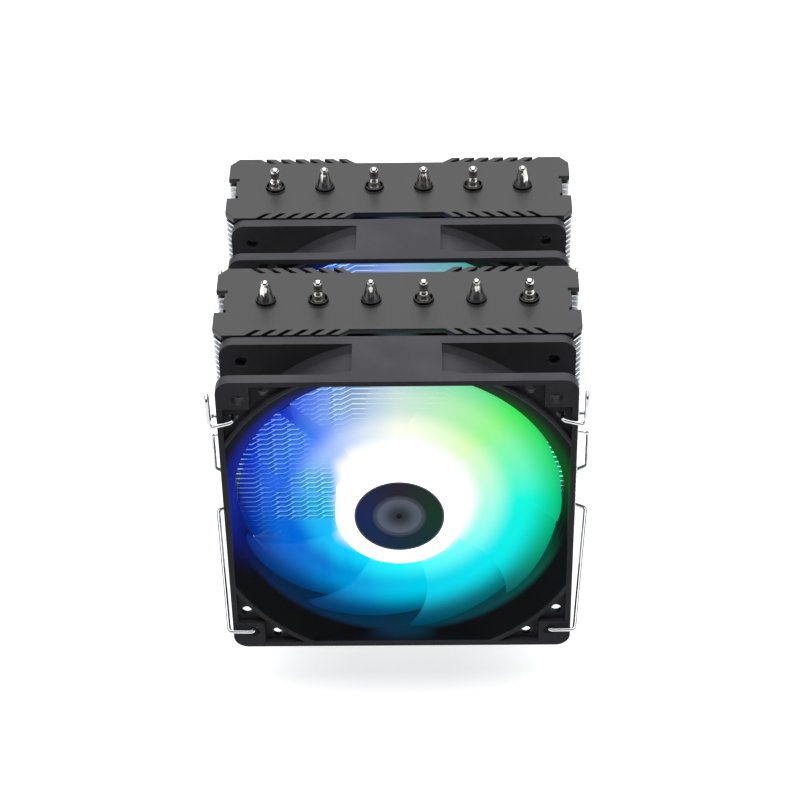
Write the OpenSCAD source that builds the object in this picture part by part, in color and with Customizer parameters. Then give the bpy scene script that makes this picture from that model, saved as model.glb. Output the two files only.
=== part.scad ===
// Dual-tower air cooler for a processor, with six heat pipes and two lit 120 mm fans.
// The origin is the centre of the cold plate's contact face. +Z points up, away from the processor, and the
// front fan faces -Y.

/* [Fin stacks] */
// Width of a fin stack across the air flow
stack_w = 125; // [120:0.5:130]
// Depth of one fin stack along the air flow
stack_d = 39; // [36:0.5:42]
// Distance from the middle of the cooler to the middle of each stack
stack_y = 35; // [34:0.5:37]
// Height of the lowest fin above the cold plate's contact face
stack_z = 57; // [48:1:60]
// Number of fins in a stack
fin_n = 40; // [30:1:42]
// Distance from one fin to the next
fin_pitch = 2.2; // [1.8:0.1:2.2]
// Thickness of a fin
fin_t = 0.4; // [0.3:0.1:0.6]
// Width of the clip notch in a stack's side
notch_w = 12.6; // [11:0.2:14]
// Depth of the clip notch in a stack's side
notch_d = 3; // [2.5:0.1:3.4]

/* [Edge pattern] */
// Depth of the slots in a fin's front and rear edges
slot_d = 3; // [2:0.1:3.5]
// Width of a slanted slot along the edge
slot_w = 1.9; // [1.4:0.1:2.4]
// Sideways lean of a slot from its mouth to its floor
slot_lean = 3.5; // [2:0.1:3.6]
// Distance from one slot to the next
slot_pitch = 5.4; // [5.3:0.1:5.5]
// Number of slots on each side of the middle recess
slot_n = 6; // [3:1:6]
// Half-width of the middle recess at the edge
recess_half = 19.6; // [18:0.2:20]

/* [Heat pipes] */
// Diameter of a heat pipe
pipe_d = 6; // [5:0.5:6]
// Distance between neighbouring pipes in a fin stack
pipe_pitch = 18; // [17:0.5:18.5]
// Distance between neighbouring pipes in the base
base_pitch = 6.6; // [6.5:0.1:6.8]
// Height of the pipes' axes in the base
pipe_z = 6.5; // [5.5:0.1:8]
// Height of the pipes' tips above the contact face
tip_z = 155; // [152:0.5:158]
// Radius of the bend where a pipe leaves the base
lower_bend_r = 12; // [11:0.5:12]
// Radius of the bend where a pipe turns upright, below the fins
upper_bend_r = 14; // [10:0.5:16]
// Height of the corner that the upper bend rounds off
upper_corner_z = 44; // [42:0.5:46]

/* [Covers] */
// Height of the covers' top faces
cover_z = 146.5; // [145:0.1:148]
// Thickness of a cover
cover_t = 2; // [1.5:0.1:2.4]
// Height of the collar round each pipe, above the cover
collar_h = 1.2; // [0.6:0.1:2]

/* [Base] */
// Width of the cold plate
base_w = 42; // [41:0.5:46]
// Depth of the cold plate
base_d = 38; // [36:0.5:40]
// Height of the pipe block's top face
block_z = 12; // [11:0.1:13]
// Distance between the two spring screws
screw_spacing = 82; // [76:0.5:84]
// Thickness of the mounting bar
bar_t = 2; // [1.5:0.1:2.5]
// Thread diameter of the spring screws
screw_d = 4; // [3:0.5:4]

/* [Fans] */
// Width and height of a fan
fan_w = 120; // [120:1:120]
// Depth of a fan
fan_d = 25; // [24:0.5:25]
// Height of the fans' centres above the contact face
fan_z = 86; // [84:0.5:88]
// Distance between a fan's screw holes
fan_hole_pitch = 105; // [105:1:105]
// Diameter of a fan's screw holes
fan_hole_d = 4.3; // [4:0.1:4.5]
// Gap between a fan and the stack behind it
fan_gap = 0.3; // [0.3:0.1:1]
// Radius of the fan's throat
throat_r = 57.5; // [57:0.1:58]
// Radius of the blade tips
blade_r = 56; // [54:0.1:56.4]
// Radius of the rotor's hub
hub_r = 22; // [21.5:0.1:23]
// Number of blades
blade_n = 9; // [7:1:11]

/* [Clips] */
// Diameter of the clip wire
wire_d = 1.4; // [1:0.1:1.6]

/* [Hidden] */
eps = 0.01;
solder_gap = 0.05;
pipe_r = pipe_d / 2;
pipe_hole_r = pipe_r + solder_gap;
pipe_xs = [for (i = [-2.5 : 1 : 2.5]) i * pipe_pitch];
front_fan_y = -stack_y - stack_d / 2 - fan_gap - fan_d;
middle_fan_y = stack_y - stack_d / 2 - fan_gap - fan_d;
wire_r = wire_d / 2;

// ---------- Fins and covers ----------

corner_x = 3.2;
corner_y = 4;
relief = 1;
relief_w = 1.4;

// Outline of one front-edge half, from the middle recess to the corner, at x >= 0
function edge_half() = concat(
    [[recess_half - slot_lean, slot_d], [recess_half, 0]],
    [for (i = [0 : slot_n - 1], k = [0 : 3])
        let (x = recess_half + slot_pitch - slot_w - 0.6 + i * slot_pitch)
        [[x, 0], [x - slot_lean, slot_d], [x - slot_lean + slot_w, slot_d], [x + slot_w, 0]][k]],
    [[stack_w / 2 - corner_x, 0], [stack_w / 2, corner_y]]
);

// Outline of one side half, from the corner to the middle of the notch
function side_half() = let (x = stack_w / 2, y = stack_d / 2, n = notch_w / 2)
    [[x, y - n], [x - notch_d - relief, y - n], [x - notch_d - relief, y - n + relief_w],
     [x - notch_d, y - n + relief_w]];

// One quarter of a fin's outline, with y measured from the middle of the fin
function quarter() = [for (p = concat(edge_half(), side_half())) [p[0], p[1] - stack_d / 2]];

function reversed(points) = [for (i = [len(points) - 1 : -1 : 0]) points[i]];

function fin_outline() = let (q = quarter()) concat(
    q,
    reversed([for (p = q) [p[0], -p[1]]]),
    [for (p = q) [-p[0], -p[1]]],
    reversed([for (p = q) [-p[0], p[1]]])
);

module fin_shape(hole_r) {
    difference() {
        polygon(fin_outline());
        for (x = pipe_xs) translate([x, 0]) circle(r = hole_r, $fn = 48);
    }
}

module fin_stack(y) {
    color("silver")
    for (i = [0 : fin_n - 1])
        translate([0, y, stack_z + i * fin_pitch])
        linear_extrude(height = fin_t) fin_shape(pipe_hole_r);
}

module cover(y) {
    collar_r = pipe_r + 0.5;
    color("dimgray")
    translate([0, y, cover_z - cover_t])
    difference() {
        union() {
            linear_extrude(height = cover_t) polygon(fin_outline());
            for (x = pipe_xs) translate([x, 0, 0]) cylinder(r = collar_r, h = cover_t + collar_h, $fn = 48);
        }
        for (x = pipe_xs)
            translate([x, 0, -1]) cylinder(r = pipe_hole_r, h = cover_t + collar_h + 2, $fn = 48);
    }
}

// ---------- Heat pipes ----------

nose_h = 8.3;
base_edge = base_d / 2;
// Distance from the base's edge to the corner that the lower bend rounds off
lower_corner_run = 11.4;
// The bends are swollen by this much, and the straight runs reach into them by lap
swell = 0.02;
lap = 0.3;

// Profile of the closed end like a bullet, from its rim to its tip, with height measured from the rim
function bullet_profile() = let (dome_r = 1.45, dome_z = nose_h - dome_r, steps = 6) concat(
    [for (i = [0 : steps])
        let (s = i / steps) [dome_r + (pipe_r - dome_r) * (1 - pow(s, 1.25)), dome_z * s]],
    [for (a = [15 : 15 : 75]) [dome_r * cos(a), dome_z + dome_r * sin(a)]],
    [[0, nose_h]]
);

// Profile of the filled end, crimped to a nipple: a tapered shoulder, a waist and a round bead
function nipple_profile() = let (bead_r = 1.6, bead_z = nose_h - bead_r) concat(
    [[pipe_r, 0], [2.5, 0.6], [2.2, 1.6], [1.85, 3.3], [1.4, 4.1], [1.4, 4.6], [bead_r, 5.4], [bead_r, bead_z]],
    [for (a = [15 : 15 : 75]) [bead_r * cos(a), bead_z + bead_r * sin(a)]],
    [[0, nose_h]]
);

// How far from a corner its bend begins, for unit directions u into the corner and v out of it
function bend_reach(u, v, r) = r * tan(acos(u * v) / 2);

// The bend that rounds off a corner between the directions u and v
module bend(corner, u, v, r) {
    turn = acos(u * v);
    n = (v - (u * v) * u) / sin(turn);
    c = corner - bend_reach(u, v, r) * u + r * n;
    z = cross(-n, u);
    multmatrix([[-n[0], u[0], z[0], c[0]], [-n[1], u[1], z[1], c[1]], [-n[2], u[2], z[2], c[2]]])
    rotate_extrude(angle = turn, $fn = 96) translate([r, 0]) circle(r = pipe_r + swell, $fn = 48);
}

// A straight run of a round rod that reaches past both of its ends
module rod(from, to, r, past, sides) {
    d = to - from;
    length = norm(d);
    translate(from) rotate([0, acos(d[2] / length), atan2(d[1], d[0])])
    translate([0, 0, -past]) cylinder(r = r, h = length + 2 * past, $fn = sides);
}

// One leg of a U-shaped pipe, from the middle of the base to the end of the pipe, on the +X +Y side
module pipe_leg(x_top, x_base, is_bullet) {
    along = [0, 1, 0];
    upright = [0, 0, 1];
    lower = [x_base, base_edge + lower_corner_run, pipe_z];
    upper = [x_top, stack_y, upper_corner_z];
    slant = (upper - lower) / norm(upper - lower);
    lower_reach = bend_reach(along, slant, lower_bend_r);
    upper_reach = bend_reach(slant, upright, upper_bend_r);
    rod([x_base, 0, pipe_z], lower - lower_reach * along, pipe_r, lap, 48);
    bend(lower, along, slant, lower_bend_r);
    rod(lower + lower_reach * slant, upper - upper_reach * slant, pipe_r, lap, 48);
    bend(upper, slant, upright, upper_bend_r);
    translate([x_top, stack_y, 0])
    rotate_extrude($fn = 48)
    polygon(concat(
        [[0, upper_corner_z + upper_reach - lap], [pipe_r, upper_corner_z + upper_reach - lap]],
        [for (p = is_bullet ? bullet_profile() : nipple_profile()) [p[0], tip_z - nose_h + p[1]]]
    ));
}

module heat_pipe(number) {
    rank = number <= 3 ? 3 - number : number - 4;
    x_top = (rank + 0.5) * pipe_pitch;
    x_base = (rank + 0.5) * base_pitch;
    front_is_bullet = number % 2 == 1;
    color("lightgray")
    mirror([number <= 3 ? 1 : 0, 0, 0]) {
        pipe_leg(x_top, x_base, !front_is_bullet);
        mirror([0, 1, 0]) pipe_leg(x_top, x_base, front_is_bullet);
    }
}

// ---------- Base ----------

bar_arm_w = 12;
bar_middle = [34, 22];
bar_screw_x = 12;
bar_screw_r = 1.5;
bar_top = block_z + bar_t;

// The round tunnels that the pipes lie in, along Y
module pipe_tunnels() {
    for (i = [-2.5 : 1 : 2.5])
        translate([i * base_pitch, -base_d, pipe_z]) rotate([-90, 0, 0])
        cylinder(r = pipe_hole_r, h = 2 * base_d, $fn = 48);
}

// A block with bevelled upright corners, from z0 to z1
module base_block(z0, z1, bevel) {
    x = base_w / 2;
    y = base_d / 2;
    translate([0, 0, z0]) linear_extrude(height = z1 - z0)
    polygon([[-x + bevel, -y], [x - bevel, -y], [x, -y + bevel], [x, y - bevel],
             [x - bevel, y], [-x + bevel, y], [-x, y - bevel], [-x, -y + bevel]]);
}

module cold_plate() {
    color("lightgray")
    difference() {
        base_block(0, pipe_z, 1.5);
        pipe_tunnels();
    }
}

module pipe_block() {
    rib_w = 1.6;
    rib_h = 1.5;
    color("silver")
    difference() {
        base_block(pipe_z, block_z, 1.5);
        pipe_tunnels();
        for (x = [-1, 1] * bar_screw_x)
            translate([x, 0, block_z - 2.2]) cylinder(r = bar_screw_r + solder_gap, h = 3, $fn = 32);
        for (side = [-1, 1], i = [0 : 1])
            translate([-base_w, side * (bar_middle[1] / 2 + 1.6 + i * 3) - rib_w / 2, block_z - rib_h])
            cube([2 * base_w, rib_w, rib_h + 1]);
    }
}

module mounting_bar() {
    color("dimgray")
    translate([0, 0, block_z])
    difference() {
        linear_extrude(height = bar_t)
        union() {
            square([screw_spacing, bar_arm_w], center = true);
            square(bar_middle, center = true);
            for (x = [-1, 1] * screw_spacing / 2) translate([x, 0]) circle(d = bar_arm_w, $fn = 48);
        }
        for (x = [-1, 1] * screw_spacing / 2)
            translate([x, 0, -1]) cylinder(r = screw_d / 2 + solder_gap, h = bar_t + 2, $fn = 48);
        for (x = [-1, 1] * bar_screw_x)
            translate([x, 0, -1]) cylinder(r = bar_screw_r + 0.1, h = bar_t + 2, $fn = 32);
    }
}

module bar_screws() {
    head_h = 1.6;
    color("silver")
    for (x = [-1, 1] * bar_screw_x) translate([x, 0, 0])
        difference() {
            union() {
                translate([0, 0, block_z - 2]) cylinder(r = bar_screw_r, h = bar_t + 2, $fn = 32);
                translate([0, 0, bar_top]) cylinder(r = 2.8, h = head_h, $fn = 48);
            }
            translate([0, 0, bar_top + head_h - 1]) cross_recess(3, 0.7, 2);
        }
}

// A cross for a screwdriver
module cross_recess(span, width, depth) {
    for (a = [0, 90]) rotate([0, 0, a]) translate([-span / 2, -width / 2, 0]) cube([span, width, depth]);
}

// ---------- Spring screws ----------

ring_t = 0.8;
ring_z = block_z - 0.3 - ring_t;
groove_r = screw_d / 2 - 0.45;
head_z = bar_top + 6.5;
screw_tip_z = 1;
coil_wire_r = 0.45;
coil_r = 3.1;
coil_turns = 4;

module spring_screw(x) {
    head_r = 4.6;
    head_h = 4;
    shank_r = screw_d / 2;
    color("silver")
    translate([x, 0, 0])
    difference() {
        union() {
            translate([0, 0, screw_tip_z]) cylinder(r1 = shank_r - 0.6, r2 = shank_r, h = 0.8, $fn = 48);
            translate([0, 0, screw_tip_z + 0.8]) cylinder(r = shank_r, h = ring_z - screw_tip_z - 0.8, $fn = 48);
            translate([0, 0, ring_z - eps]) cylinder(r = groove_r, h = ring_t + 2 * eps, $fn = 48);
            translate([0, 0, ring_z + ring_t]) cylinder(r = shank_r, h = head_z - ring_z - ring_t, $fn = 48);
            translate([0, 0, head_z]) cylinder(r = head_r, h = head_h - 0.6, $fn = 64);
            translate([0, 0, head_z + head_h - 0.6]) cylinder(r1 = head_r, r2 = head_r - 0.6, h = 0.6, $fn = 64);
        }
        translate([0, 0, head_z + head_h - 2.2]) cross_recess(5, 1.1, 3);
    }
}

module retaining_ring(x) {
    color("gray")
    translate([x, 0, ring_z + 0.05])
    difference() {
        cylinder(r = 3.8, h = ring_t - 0.1, $fn = 48);
        translate([0, 0, -1]) cylinder(r = groove_r + solder_gap, h = ring_t + 2, $fn = 48);
        translate([0, -1.3, -1]) cube([6, 2.6, ring_t + 2]);
    }
}

// A coil spring between the bar and the screw's head, drawn as rings of points along a helix
module coil_spring(x) {
    per_turn = 12;
    sides = 6;
    z0 = bar_top + coil_wire_r + 0.05;
    rise = head_z - bar_top - 2 * coil_wire_r - 0.1;
    n = per_turn * coil_turns;
    points = [for (i = [0 : n], j = [0 : sides - 1])
        let (a = 360 * i / per_turn, b = 360 * j / sides, r = coil_r + coil_wire_r * cos(b))
        [r * cos(a), r * sin(a), z0 + rise * i / n + coil_wire_r * sin(b)]];
    faces = concat(
        [[for (j = [0 : sides - 1]) j]],
        [for (i = [0 : n - 1], j = [0 : sides - 1])
            let (k = (j + 1) % sides) [i * sides + k, i * sides + j, (i + 1) * sides + j, (i + 1) * sides + k]],
        [[for (j = [sides - 1 : -1 : 0]) n * sides + j]]
    );
    color("silver") translate([x, 0, 0]) polyhedron(points, faces);
}

// ---------- Fans ----------
// Each fan part is drawn with +Z along the fan's axis, from the outlet face at 0 to the intake face at fan_d.

flange_t = 4.2;
outlet_r = 64.5;
intake_r = 66.5;
outlet_cone_h = 6;
intake_cone_h = 8;
duct_wall = 2;
flat_half = fan_w / 2 - duct_wall;
pad_from = 48.8;
pocket_d = 2.2;
pocket_rim = 0.9;
small_hole = [54.8, 44.3];
seat_r = 21;
seat_z = 0.6;
seat_t = 2;
collar_r = 5.2;
bearing_r = 3.5;
shaft_r = 1.5;
hub_front = fan_d - 1.5;
hub_back = 5;
hub_wall = 0.95;
front_wall = 1.6;
yoke_r = hub_r - hub_wall - solder_gap;
yoke_t = 0.8;
yoke_top = hub_front - front_wall;
boss_r = 4;
board_z = 4.6;
board_t = 1.2;
blade_z = 6;
blade_h = 15;
blade_twist = 40;
blade_sweep = 18;
cap_r = 15.5;

module place_fan(front_y) {
    translate([0, front_y + fan_d, fan_z]) rotate([90, 0, 0]) children();
}

module four_corners() {
    for (sx = [0, 1], sy = [0, 1]) mirror([sx, 0, 0]) mirror([0, sy, 0]) children();
}

module flange(z) {
    r = 5;
    translate([0, 0, z]) linear_extrude(height = flange_t)
    union() {
        square([fan_w, fan_w - 2 * r], center = true);
        square([fan_w - 2 * r, fan_w], center = true);
        for (x = [-1, 1], y = [-1, 1]) translate([x, y] * (fan_w / 2 - r)) circle(r = r, $fn = 48);
    }
}

// The air way, as wide as the duct plus a wall at its round parts
module air_way(wall) {
    rotate_extrude($fn = 180)
    polygon([[0, -1], [outlet_r + wall, -1], [outlet_r + wall, 0], [throat_r + wall, outlet_cone_h],
             [throat_r + wall, fan_d - intake_cone_h], [intake_r + wall, fan_d], [intake_r + wall, fan_d + 1],
             [0, fan_d + 1]]);
}

// The recess round a corner pad, in the intake flange
module corner_recess() {
    inner_r = intake_r + pocket_rim;
    linear_extrude(height = pocket_d + 1)
    difference() {
        translate([30, 30]) square(flat_half - 30);
        circle(r = inner_r, $fn = 180);
        translate([pad_from, pad_from]) square(fan_w);
    }
}

module fan_frame(front_y) {
    hole_half = fan_hole_pitch / 2;
    color([0.11, 0.11, 0.12])
    place_fan(front_y) {
        difference() {
            union() {
                flange(0);
                flange(fan_d - flange_t);
                intersection() {
                    air_way(duct_wall);
                    translate([-fan_w / 2, -fan_w / 2, 0]) cube([fan_w, fan_w, fan_d]);
                }
                for (a = [0 : 90 : 270]) rotate([0, 0, a])
                    translate([-15, flat_half - 1, 0]) cube([30, duct_wall + 1, fan_d]);
            }
            intersection() {
                air_way(0);
                translate([-flat_half, -flat_half, -2]) cube([2 * flat_half, 2 * flat_half, fan_d + 4]);
            }
            for (x = [-1, 1], y = [-1, 1])
                translate([x * hole_half, y * hole_half, -1]) cylinder(d = fan_hole_d, h = fan_d + 2, $fn = 48);
            four_corners() {
                translate([0, 0, fan_d - pocket_d]) corner_recess();
                for (p = [small_hole, [small_hole[1], small_hole[0]]])
                    translate([p[0], p[1], fan_d - flange_t - 1]) cylinder(r = 1.9, h = flange_t + 2, $fn = 32);
            }
            translate([44, -fan_w / 2 - 1, -1]) cube([8, 4, flange_t + 2]);
        }
        motor_seat();
    }
}

// The motor's seat in the outlet, with its bearing tube and four struts
module motor_seat() {
    strut_w = 3.6;
    strut_h = 3.2;
    difference() {
        union() {
            translate([0, 0, seat_z]) cylinder(r = seat_r, h = seat_t, $fn = 96);
            translate([0, 0, seat_z]) cylinder(r = collar_r, h = 15.4, $fn = 48);
            translate([0, 0, seat_z + seat_t - eps])
            cylinder(r = collar_r + 2, h = board_z - seat_z - seat_t + eps, $fn = 48);
            for (a = [45 : 90 : 315]) rotate([0, 0, a])
                translate([seat_r - 4, 4, seat_z]) cube([intake_r - seat_r + 4, strut_w, strut_h]);
        }
        translate([0, 0, seat_z + seat_t]) cylinder(r = bearing_r + solder_gap, h = 20, $fn = 48);
    }
}

// Plan shape of a blade at one height: a swept strip, wider at the tip
module blade_section() {
    steps = 4;
    root_r = hub_r - hub_wall / 2;
    function rim(side) = [for (i = [0 : steps])
        let (t = i / steps, r = root_r + t * (blade_r - root_r),
             a = -blade_sweep * t * t + side * (0.9 + 0.7 * t) / r * 180 / PI)
        [r * cos(a), r * sin(a)]];
    polygon(concat(rim(-1), reversed(rim(1))));
}

module impeller(front_y) {
    color("aliceblue")
    place_fan(front_y) {
        difference() {
            union() {
                translate([0, 0, hub_back]) cylinder(r = hub_r, h = hub_front - hub_back - 1, $fn = 96);
                translate([0, 0, hub_front - 1]) cylinder(r1 = hub_r, r2 = hub_r - 1, h = 1, $fn = 96);
            }
            translate([0, 0, hub_back - 1])
            cylinder(r = hub_r - hub_wall, h = hub_front - front_wall - hub_back + 1, $fn = 96);
            translate([0, 0, hub_front - 0.6]) cylinder(r = cap_r + solder_gap, h = 1, $fn = 96);
        }
        difference() {
            translate([0, 0, yoke_top - 4.5]) cylinder(r = boss_r, h = 4.5 + eps, $fn = 48);
            translate([0, 0, yoke_top - 6]) cylinder(r = shaft_r + solder_gap, h = 6, $fn = 48);
        }
        for (i = [0 : blade_n - 1]) rotate([0, 0, i * 360 / blade_n])
            translate([0, 0, blade_z])
            linear_extrude(height = blade_h, twist = blade_twist, slices = 8, segments = 10, convexity = 4)
            blade_section();
    }
}

module hub_cap(front_y) {
    color([0.2, 0.2, 0.22])
    place_fan(front_y) translate([0, 0, hub_front - 0.55]) cylinder(r = cap_r, h = 0.5, $fn = 96);
}

module yoke(front_y) {
    color("gray")
    place_fan(front_y)
    difference() {
        translate([0, 0, hub_back + 2]) cylinder(r = yoke_r, h = yoke_top - hub_back - 2 - solder_gap, $fn = 96);
        translate([0, 0, hub_back]) cylinder(r = yoke_r - yoke_t, h = yoke_top - hub_back - 1, $fn = 96);
        translate([0, 0, yoke_top - 3]) cylinder(r = boss_r + solder_gap, h = 4, $fn = 48);
    }
}

module magnet_ring(front_y) {
    outer = yoke_r - yoke_t - solder_gap;
    color("dimgray")
    place_fan(front_y) translate([0, 0, 8])
    difference() {
        cylinder(r = outer, h = 10, $fn = 96);
        translate([0, 0, -1]) cylinder(r = outer - 1.6, h = 12, $fn = 96);
    }
}

module shaft(front_y) {
    clip_z = 3.3;
    color("silver")
    place_fan(front_y) {
        translate([0, 0, clip_z - 0.4]) cylinder(r = shaft_r, h = 0.4, $fn = 48);
        translate([0, 0, clip_z - eps]) cylinder(r = shaft_r - 0.35, h = 0.4 + 2 * eps, $fn = 48);
        translate([0, 0, clip_z + 0.4]) cylinder(r = shaft_r, h = yoke_top - 0.2 - clip_z - 0.4, $fn = 48);
    }
}

module shaft_clip(front_y) {
    color("gray")
    place_fan(front_y) translate([0, 0, 3.35])
    difference() {
        cylinder(r = 2.7, h = 0.3, $fn = 48);
        translate([0, 0, -1]) cylinder(r = shaft_r - 0.3, h = 2, $fn = 48);
    }
}

module bearing(front_y) {
    color("goldenrod")
    place_fan(front_y) translate([0, 0, 4])
    difference() {
        cylinder(r = bearing_r, h = 12, $fn = 48);
        translate([0, 0, -1]) cylinder(r = shaft_r + 0.04, h = 14, $fn = 48);
    }
}

module stator(front_y) {
    core_r = 17.6;
    color("slategray")
    place_fan(front_y) translate([0, 0, 9.5]) linear_extrude(height = 5)
    difference() {
        union() {
            circle(r = 8.5, $fn = 64);
            for (a = [0, 90]) rotate(a) square([2 * core_r - 2, 3.6], center = true);
            difference() {
                circle(r = core_r, $fn = 96);
                circle(r = core_r - 2, $fn = 96);
                for (a = [45, 135]) rotate(a) square([3 * core_r, 5], center = true);
            }
        }
        circle(r = collar_r + solder_gap, $fn = 48);
    }
}

module windings(front_y) {
    color("chocolate")
    place_fan(front_y)
    for (a = [0 : 90 : 270]) rotate([0, 0, a]) translate([9, 0, 12])
    difference() {
        translate([0, -4, -3.8]) cube([5.9, 8, 7.6]);
        translate([-1, -1.9, -2.6]) cube([9, 3.8, 5.2]);
    }
}

module circuit_board(front_y) {
    color("darkgreen")
    place_fan(front_y) translate([0, 0, board_z])
    difference() {
        cylinder(r = 19.6, h = board_t, $fn = 96);
        translate([0, 0, -1]) cylinder(r = collar_r + solder_gap, h = board_t + 2, $fn = 48);
    }
}

module lamps(front_y) {
    color("white")
    place_fan(front_y)
    for (a = [22.5 : 45 : 337.5]) rotate([0, 0, a])
        translate([16.8, -1.1, board_z + board_t]) cube([2.2, 2.2, 1]);
}

module hub_plate(front_y) {
    color([0.2, 0.2, 0.22])
    place_fan(front_y) translate([0, 0, seat_z - 0.45]) cylinder(r = seat_r - 2, h = 0.45, $fn = 96);
}

// ---------- Fan clips ----------

notch_x = stack_w / 2 - notch_d;
clip_y = fan_d + fan_gap + stack_d / 2;
face_gap = 1.1;

// The wire of a left clip, from the hook in the upper small hole to the hook in the lower screw hole. Each
// point is measured from the middle of the fan's front face.
clip_in = -notch_x - wire_r - 0.2;
clip_out = clip_in - 6.6;
clip_path = [
    [-small_hole[0], 2.4, 44.6], [-small_hole[0], -face_gap, 44.2], [-62.6, -face_gap, 42],
    [-62.6, -1.9, 54], [-62.7, 0.1, 55], [-62.8, 1.5, 53.6], [-62.8, 2.6, 42.4],
    [clip_out - 0.4, clip_y, 10.2], [clip_in, clip_y, 9.8], [clip_in, clip_y, 2.6],
    [clip_out, clip_y, 1.4], [clip_out, clip_y, -14], [clip_in, clip_y, -17.5], [clip_in, clip_y, -31.2],
    [clip_out - 0.3, clip_y, -34.2], [-61.4, -face_gap, -51.4], [-fan_hole_pitch / 2, -face_gap, -51.6],
    [-fan_hole_pitch / 2, 2.4, -51.9]
];

// Every second run is a hair thinner, so that two runs never share a surface
module clip(front_y, side) {
    color("silver")
    translate([0, front_y, fan_z]) mirror([side > 0 ? 1 : 0, 0, 0])
        for (i = [0 : len(clip_path) - 2])
            rod(clip_path[i], clip_path[i + 1], wire_r - 0.02 * (i % 2), wire_r * 0.4, 32);
}

// ---------- Nodes ----------

cold_plate();
pipe_block();
mounting_bar();
bar_screws();
heat_pipe(1);  // heat_pipe_1
heat_pipe(2);  // heat_pipe_2
heat_pipe(3);  // heat_pipe_3
heat_pipe(4);  // heat_pipe_4
heat_pipe(5);  // heat_pipe_5
heat_pipe(6);  // heat_pipe_6
fin_stack(-stack_y);  // front_fins
fin_stack(stack_y);  // rear_fins
cover(-stack_y);  // front_cover
cover(stack_y);  // rear_cover
spring_screw(-screw_spacing / 2);  // left_spring_screw
spring_screw(screw_spacing / 2);  // right_spring_screw
coil_spring(-screw_spacing / 2);  // left_spring
coil_spring(screw_spacing / 2);  // right_spring
retaining_ring(-screw_spacing / 2);  // left_retaining_ring
retaining_ring(screw_spacing / 2);  // right_retaining_ring
fan_frame(front_fan_y);  // front_fan_frame
impeller(front_fan_y);  // front_impeller
hub_cap(front_fan_y);  // front_hub_cap
yoke(front_fan_y);  // front_yoke
magnet_ring(front_fan_y);  // front_magnet_ring
shaft(front_fan_y);  // front_shaft
bearing(front_fan_y);  // front_bearing
stator(front_fan_y);  // front_stator
windings(front_fan_y);  // front_windings
circuit_board(front_fan_y);  // front_circuit_board
lamps(front_fan_y);  // front_lamps
shaft_clip(front_fan_y);  // front_shaft_clip
hub_plate(front_fan_y);  // front_hub_plate
fan_frame(middle_fan_y);  // middle_fan_frame
impeller(middle_fan_y);  // middle_impeller
hub_cap(middle_fan_y);  // middle_hub_cap
yoke(middle_fan_y);  // middle_yoke
magnet_ring(middle_fan_y);  // middle_magnet_ring
shaft(middle_fan_y);  // middle_shaft
bearing(middle_fan_y);  // middle_bearing
stator(middle_fan_y);  // middle_stator
windings(middle_fan_y);  // middle_windings
circuit_board(middle_fan_y);  // middle_circuit_board
lamps(middle_fan_y);  // middle_lamps
shaft_clip(middle_fan_y);  // middle_shaft_clip
hub_plate(middle_fan_y);  // middle_hub_plate
clip(front_fan_y, -1);  // front_left_clip
clip(front_fan_y, 1);  // front_right_clip
clip(middle_fan_y, -1);  // middle_left_clip
clip(middle_fan_y, 1);  // middle_right_clip
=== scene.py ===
"""Looks of a dual-tower processor cooler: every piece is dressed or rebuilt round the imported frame."""

import logging
import math
from dataclasses import dataclass
from enum import Enum

import bmesh
import bpy
from mathutils import Matrix, Vector


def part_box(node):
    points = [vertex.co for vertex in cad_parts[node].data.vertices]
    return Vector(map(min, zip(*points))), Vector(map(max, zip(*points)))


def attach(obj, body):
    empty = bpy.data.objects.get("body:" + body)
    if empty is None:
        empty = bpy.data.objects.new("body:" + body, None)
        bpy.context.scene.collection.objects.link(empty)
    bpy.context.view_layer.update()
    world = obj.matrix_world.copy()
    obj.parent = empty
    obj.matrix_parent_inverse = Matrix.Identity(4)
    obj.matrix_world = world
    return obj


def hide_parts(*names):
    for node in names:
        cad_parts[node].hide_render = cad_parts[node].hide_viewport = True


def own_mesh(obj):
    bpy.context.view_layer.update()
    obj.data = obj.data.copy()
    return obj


Pair = tuple[float, float]
Triple = tuple[float, float, float]
Colour = tuple[float, float, float, float]
Socket = bpy.types.NodeSocket
Material = bpy.types.Material
BMesh = bmesh.types.BMesh

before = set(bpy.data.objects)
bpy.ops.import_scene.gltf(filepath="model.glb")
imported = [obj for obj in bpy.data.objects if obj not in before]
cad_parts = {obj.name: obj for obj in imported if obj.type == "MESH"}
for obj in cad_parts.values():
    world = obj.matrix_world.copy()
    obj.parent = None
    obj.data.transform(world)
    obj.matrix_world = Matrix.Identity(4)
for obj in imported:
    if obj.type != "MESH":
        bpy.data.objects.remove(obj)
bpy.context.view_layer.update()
LOG = logging.getLogger("cooler")
MM = 0.001
FINE_OCTAVES = 0.55
BLACK = (0.0, 0.0, 0.0, 1.0)
WHITE = (1.0, 1.0, 1.0, 1.0)


# ---------- Colours and shader nodes ----------


def linear(code: str) -> Colour:
    """Turns a hex colour as mixed on a screen into linear light.

    Args:
        code: six hex digits.

    Returns:
        Red, green, blue and an alpha of 1.
    """
    parts = [int(code[i : i + 2], 16) / 255 for i in (0, 2, 4)]
    return (*[p / 12.92 if p <= 0.04045 else ((p + 0.055) / 1.055) ** 2.4 for p in parts], 1.0)


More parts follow.
